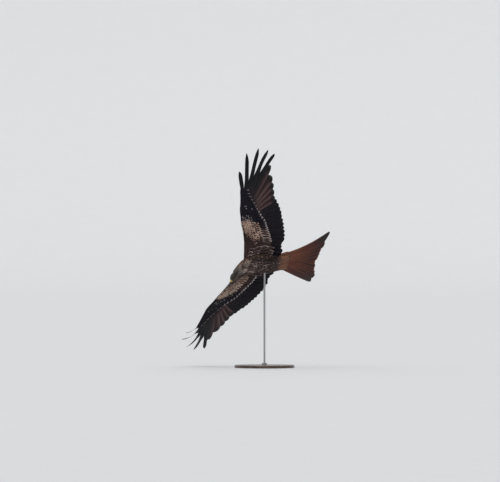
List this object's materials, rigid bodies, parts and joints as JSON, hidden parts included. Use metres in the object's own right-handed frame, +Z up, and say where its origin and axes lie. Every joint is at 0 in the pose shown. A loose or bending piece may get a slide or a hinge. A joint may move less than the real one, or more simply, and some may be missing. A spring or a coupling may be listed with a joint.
{
  "type": "red kite model",
  "caption": "Life-size red kite, soaring in a steep bank with spread finger feathers and a forked tail, held by a plain round display stand.",
  "frame": {"origin": "centre of the underside of the stand's round base, on the floor", "axes": "+Z up along the stand's rod; the bird's bill end points towards -X and -Y, and its underside is seen from -Y"},
  "size_m": [0.9516, 0.8739, 1.3818],
  "materials": {
    "plumage_brown": "matt dark brown feathers with buff edges",
    "plumage_head": "matt pale grey feathers with dark streaks",
    "plumage_dark": "smooth blackish brown flight feathers, slight sheen",
    "plumage_tail": "smooth rufous tail feathers, slight sheen",
    "bill_horn": "dark horn with a yellow cere",
    "eye": "clear and glossy over an amber iris",
    "foot_skin": "yellow scaly skin with black claws",
    "stand_wood": "dark stained wood, satin",
    "stand_steel": "satin steel"
  },
  "bodies": {
    "root": {"bill_lower": "bill_horn", "bill_upper": "bill_horn", "eye_left": "eye", "eye_right": "eye", "foot_left": "foot_skin", "foot_right": "foot_skin", "head": "plumage_head", "leg_left": "plumage_brown", "leg_right": "plumage_brown", "neck": "plumage_head", "stand_base": "stand_wood", "stand_collar": "stand_steel", "stand_rod": "stand_steel", "tail_base": "plumage_brown", "tail_left": "plumage_tail", "tail_right": "plumage_tail", "trunk": "plumage_brown", "wing_left_alula": "plumage_dark", "wing_left_arm": "plumage_brown", "wing_left_hand": "plumage_brown", "wing_left_primaries": "plumage_dark", "wing_left_primary_10": "plumage_dark", "wing_left_primary_6": "plumage_dark", "wing_left_primary_7": "plumage_dark", "wing_left_primary_8": "plumage_dark", "wing_left_primary_9": "plumage_dark", "wing_left_secondaries": "plumage_dark", "wing_right_alula": "plumage_dark", "wing_right_arm": "plumage_brown", "wing_right_hand": "plumage_brown", "wing_right_primaries": "plumage_dark", "wing_right_primary_10": "plumage_dark", "wing_right_primary_6": "plumage_dark", "wing_right_primary_7": "plumage_dark", "wing_right_primary_8": "plumage_dark", "wing_right_primary_9": "plumage_dark", "wing_right_secondaries": "plumage_dark"}
  },
  "joints": []
}
